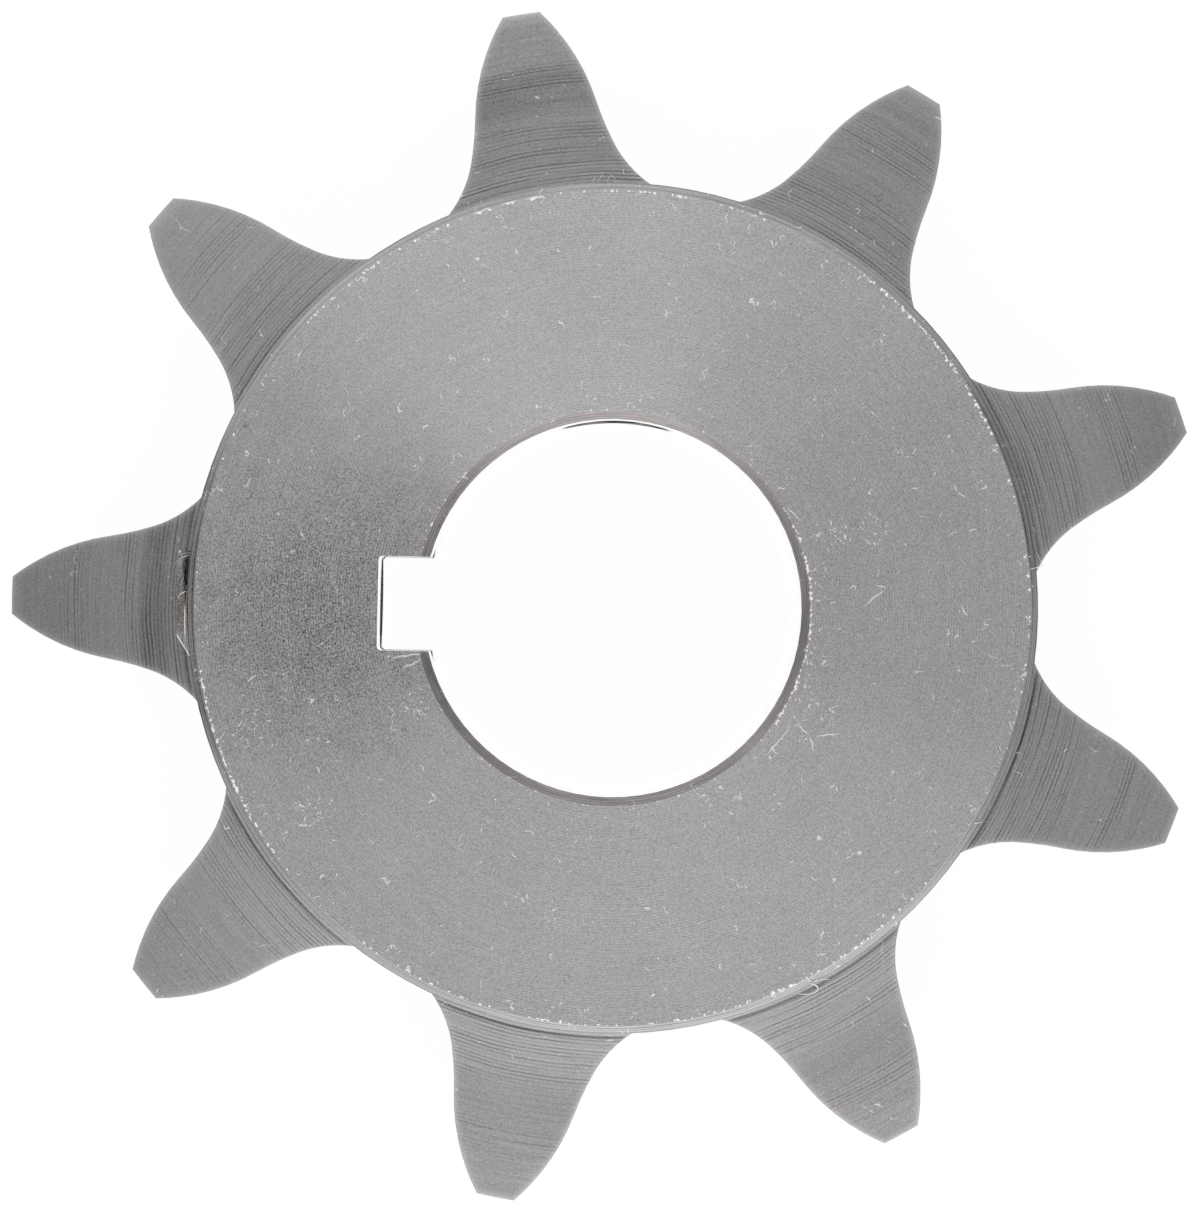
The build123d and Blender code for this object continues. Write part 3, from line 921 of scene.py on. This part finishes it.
def helical_grid(station, length, radius_at):
    """Points of a threaded wall as turn, radius and depth, its faces, and its last row."""
    rows = thread_rows(station.thread_start, length)
    points = []
    for first in rows:
        phase = (first - station.thread_start) / THREAD_PITCH
        for step in range(AROUND):
            turn = angle_of(step)
            depth = limited(first + THREAD_PITCH * step / AROUND, 0.0, length)
            points.append((turn, radius_at(depth, phase, turn), depth))
    faces = []
    last = len(rows) - 1
    for row in range(last):
        for step in range(AROUND):
            low, high = row * AROUND + step + 1, (row + 1) * AROUND + step + 1
            if step == AROUND - 1:
                # The seam meets the rows of the next turn of the helix
                low = min(row + ROWS_A_PITCH, last) * AROUND
                high = min(row + 1 + ROWS_A_PITCH, last) * AROUND
            faces.append((row * AROUND + step, low, high, (row + 1) * AROUND + step))
    return points, faces, list(range(last * AROUND, (last + 1) * AROUND))


def build_set_screw(station):
    """Threaded set screw with a hexagon socket outwards and a cup point inwards."""
    polar, faces, _ = helical_grid(station, SCREW_LENGTH, screw_radius_at)

    def ring(radius, depth):
        start = len(polar)
        for step in range(AROUND):
            turn = angle_of(step)
            polar.append((turn, radius(turn) if callable(radius) else radius, depth))
        return list(range(start, start + AROUND))

    def socket(grow):
        return lambda turn: hexagon_radius(turn) + grow

    def tip(depth):
        polar.append((0.0, 0.0, depth))
        return [len(polar) - 1] * AROUND

    lead_width, lead_depth = SOCKET_LEAD
    outer = [
        ring(END_RADIUS, 0.0),
        ring(socket(lead_width), 0.0),
        ring(socket(0.0), lead_depth),
        ring(socket(0.0), SOCKET_DEPTH - SOCKET_CONE),
        ring(SOCKET_SIZE / 2, SOCKET_DEPTH - SOCKET_CONE),
        tip(SOCKET_DEPTH),
    ]
    inner = [
        ring(SCREW_RADIUS - POINT_CHAMFER, SCREW_LENGTH),
        ring(CUP_RADIUS, SCREW_LENGTH),
        tip(SCREW_LENGTH - CUP_DEPTH),
    ]
    faces += close_rings(outer) + close_rings(inner)
    faces = [tuple(dict.fromkeys(face)) for face in faces]
    points = [station.place(*spot) for spot in polar]
    piece = finish_mesh(station.node + "_threaded", points, faces)
    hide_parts(station.node)
    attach(piece, "root")
    return piece


def build_tapped_thread(station):
    """Ridges of a tapped hole, in the grooves of its screw and cut off at both mouths."""
    mouth = station.end - HUB_RADIUS + COUNTERSINK
    length = station.end - BORE_RADIUS
    polar, faces, bottom = helical_grid(station, length, tapped_radius_at)

    def seat(turn, radius, depth):
        # The hole opens into the floor of the keyway, or into the round bore
        in_keyway = station.outward[0] < -0.5
        floor = KEYWAY_FLOOR if in_keyway else sqrt(BORE_RADIUS**2 - (radius * cos(turn)) ** 2)
        return station.place(turn, radius, limited(depth, mouth, station.end - floor))

    top = list(range(AROUND))
    back = [len(polar) + step for step in top]
    front = [len(polar) + AROUND + step for step in top]
    for depth in (0.0, length):
        polar += [(angle_of(step), TAPPED_RADIUS + WALL_BACK, depth) for step in top]
    faces += close_rings([top, back, front, bottom])
    piece = finish_mesh(station.lining, [seat(*spot) for spot in polar], faces)
    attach(piece, "root")
    return piece


# Curls of metal left at the tapped holes and along the rim of the hub: name, thickness and
# the points that each runs through, in mm
BURRS = (
    ("keyway_screw_burr_top", 0.12, (
        (-28.9, 2.9, 26.0), (-29.55, 2.98, 26.4), (-29.5, 3.35, 26.6), (-29.32, 3.06, 26.7),
        (-29.37, 2.85, 26.6),
    )),
    ("keyway_screw_burr_tail", 0.09, (
        (-29.0, 2.9, 26.3), (-29.43, 2.71, 26.6), (-29.6, 2.58, 26.7), (-29.77, 2.37, 26.8),
    )),
    ("keyway_screw_burr_curl", 0.09, (
        (-28.8, 0.55, 28.0), (-29.2, 0.37, 28.1), (-29.37, 0.23, 28.0), (-29.45, -0.05, 28.0),
        (-29.3, 0.1, 28.1),
    )),
    ("side_screw_burr_left", 0.12, (
        (-1.95, 28.45, 26.8), (-1.92, 28.9, 27.1), (-1.83, 29.28, 27.1), (-1.72, 29.05, 27.0),
    )),
    ("side_screw_burr_middle", 0.11, (
        (-1.6, 28.5, 27.2), (-1.58, 28.92, 27.4), (-1.3, 29.5, 27.5), (-1.04, 28.98, 27.4),
    )),
    ("side_screw_burr_right", 0.11, (
        (-0.98, 28.5, 27.3), (-0.98, 28.95, 27.4), (-0.72, 29.4, 27.5), (-0.45, 29.1, 27.5),
        (-0.25, 28.9, 27.4),
    )),
    ("rim_burr_low_long", 0.1, (
        (13.67, -24.54, 33.9), (13.81, -24.87, 33.68), (14.47, -24.55, 33.62),
        (15.14, -24.62, 33.55),
    )),
    ("rim_burr_low_curl", 0.11, (
        (13.85, -24.88, 33.66), (14.35, -24.98, 33.6), (14.3, -25.5, 33.45),
        (13.49, -25.66, 33.4), (12.95, -25.6, 33.4),
    )),
    ("rim_burr_right", 0.08, (
        (27.95, 3.2, 33.9), (28.41, 3.35, 33.65), (28.85, 3.5, 33.5), (28.55, 3.9, 33.6),
        (28.4, 4.4, 33.65),
    )),
    ("rim_burr_chip", 0.16, (
        (24.45, -13.92, 33.75), (24.8, -13.86, 33.72), (25.1, -13.78, 33.5),
    )),
)
BURR_TAPER = 0.75  # share of the thickness that a burr loses towards its far end


def build_burr(name, thickness, spots):
    """Thin curl through a few points, pointed at its far end."""
    curve = bpy.data.curves.new(name, "CURVE")
    curve.dimensions = "3D"
    curve.bevel_depth = thickness / 2 * MM
    curve.bevel_resolution = 2
    curve.resolution_u = 8
    curve.use_fill_caps = True
    spline = curve.splines.new("NURBS")
    spline.points.add(len(spots) - 1)
    for index, spot in enumerate(spots):
        spline.points[index].co = (*(v * MM for v in spot), 1.0)
        spline.points[index].radius = 1.0 - BURR_TAPER * index / (len(spots) - 1)
    spline.use_endpoint_u = True
    spline.order_u = 3
    path = link(name + "_path", curve)
    solid = path.evaluated_get(bpy.context.evaluated_depsgraph_get())
    mesh = bpy.data.meshes.new_from_object(solid)
    bpy.data.objects.remove(path)
    mesh.shade_smooth()
    piece = link(name, mesh)
    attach(piece, "root")
    return piece


# ---- Stage: floor, world, lamps, camera ----
FLOOR_REACH = 3.0  # m
FLOOR_PLAIN = (0.8, 0.8, 0.8, 1)  # for light that falls on it
FLOOR_CATCH = (0.13, 0.13, 0.13, 1)  # what the camera sees of its shadows
FLOOR_GLOW = (0.94, 1.03)  # added for the camera and for reflections
# Studio that the steel mirrors: a bright ceiling and front, a paler back, greyer sides
STUDIO_TURN = -14.0  # degrees
CEILING, SIDES, ENDS, ENDS_SQUARED, FRONT = 0.97, 0.42, 0.68, 0.6, 0.14
PLAIN_LEVEL = 0.6  # of the world where it isn't mirrored
LAMP_SIZE = (2.0, 1.4)
LAMPS = (("front_lamp", (0, -0.9, 0.9), 3.0), ("back_lamp", (0.1, 0.9, 1.0), 1.5))
SENSOR, LENS = 36.0, 236.72  # mm
CAMERA_HEIGHT = 0.5692
CAMERA_TURN = 1.25  # degrees
# The bore axis stands a little right of and below the middle of the frame
SHIFT = (-12.4 / 1214, 1.1 / 1214)
CLIP = (0.02, 20.0)


def ray_kinds(g):
    """Whether a ray comes from the camera, from a reflection or through glass."""
    path = g.node("ShaderNodeLightPath")
    return g.outputs(path, "Is Camera Ray", "Is Glossy Ray", "Is Transmission Ray")


def build_floor():
    """Plain floor that looks white to the camera and still takes the object's shadow."""
    made, g = new_material("floor_white")
    camera, glossy, glass = ray_kinds(g)
    plain = g.out("ShaderNodeBsdfDiffuse", {"Color": FLOOR_PLAIN})
    catch = g.out("ShaderNodeBsdfDiffuse", {"Color": FLOOR_CATCH})
    glow = g.out("ShaderNodeEmission", {"Strength": g.mix(glossy, *FLOOR_GLOW)})
    white = g.out("ShaderNodeAddShader", {0: catch, 1: glow})
    seen = g.most(camera, glossy, glass)
    g.finish(g.out("ShaderNodeMixShader", {0: seen, 1: plain, 2: white}))
    level = -PLATE_HALF * MM
    square = ((-1, -1), (1, -1), (1, 1), (-1, 1))
    corners = [(x * FLOOR_REACH, y * FLOOR_REACH, level) for x, y in square]
    mesh = bpy.data.meshes.new("floor")
    mesh.from_pydata(corners, [], [(0, 1, 2, 3)])
    mesh.materials.append(made)
    link("floor", mesh)


def build_world():
    """White for the camera, a studio for reflections and plain light for the rest."""
    world = bpy.data.worlds.new("studio")
    world.use_nodes = True
    bpy.context.scene.world = world
    g = Graph(world.node_tree)
    camera, glossy, glass = ray_kinds(g)
    direction = g.out("ShaderNodeTexCoord", output="Generated")
    dx, dy, dz = g.separate(g.turned(direction, radians(STUDIO_TURN)))
    squared = dy * dy
    sideways = (dx * dx) * SIDES + squared * (squared * ENDS_SQUARED + ENDS)
    studio = (dz * dz) * CEILING + sideways - dy * FRONT
    level = g.mix(g.most(camera, glass), g.mix(glossy, PLAIN_LEVEL, studio), 1.0)
    back = g.out("ShaderNodeBackground", {"Color": (1, 1, 1, 1), "Strength": level})
    g.finish(back, "ShaderNodeOutputWorld")


def build_lamp(name, place, power):
    """Rectangular lamp that faces the middle of the object."""
    light = bpy.data.lights.new(name, "AREA")
    light.shape = "RECTANGLE"
    light.size, light.size_y = LAMP_SIZE
    light.energy = power
    lamp = link(name, light)
    lamp.location = place
    lamp.rotation_euler = lamp.location.normalized().to_track_quat("Z", "Y").to_euler()


def build_camera():
    """Camera straight above the hub, as far away as the photograph's."""
    data = bpy.data.cameras.new("camera")
    data.sensor_width, data.lens = SENSOR, LENS
    data.shift_x, data.shift_y = SHIFT
    data.clip_start, data.clip_end = CLIP
    camera = link("camera", data)
    camera.location = (0, 0, CAMERA_HEIGHT)
    camera.rotation_euler = (0, 0, radians(CAMERA_TURN))
    bpy.context.scene.camera = camera


bpy.context.scene.view_settings.view_transform = "Standard"
steel = machined_steel()
oxide = black_oxide()
for name, finish in (("sprocket", steel), ("keyway_set_screw", oxide), ("side_set_screw", oxide)):
    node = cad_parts[name]
    node.data.materials.clear()
    node.data.materials.append(finish)

for station in STATIONS:
    build_set_screw(station).data.materials.append(oxide)
    build_tapped_thread(station).data.materials.append(steel)
torn_steel = burr_steel()
for burr in BURRS:
    build_burr(*burr).data.materials.append(torn_steel)
build_floor()
build_world()
for lamp in LAMPS:
    build_lamp(*lamp)
build_camera()
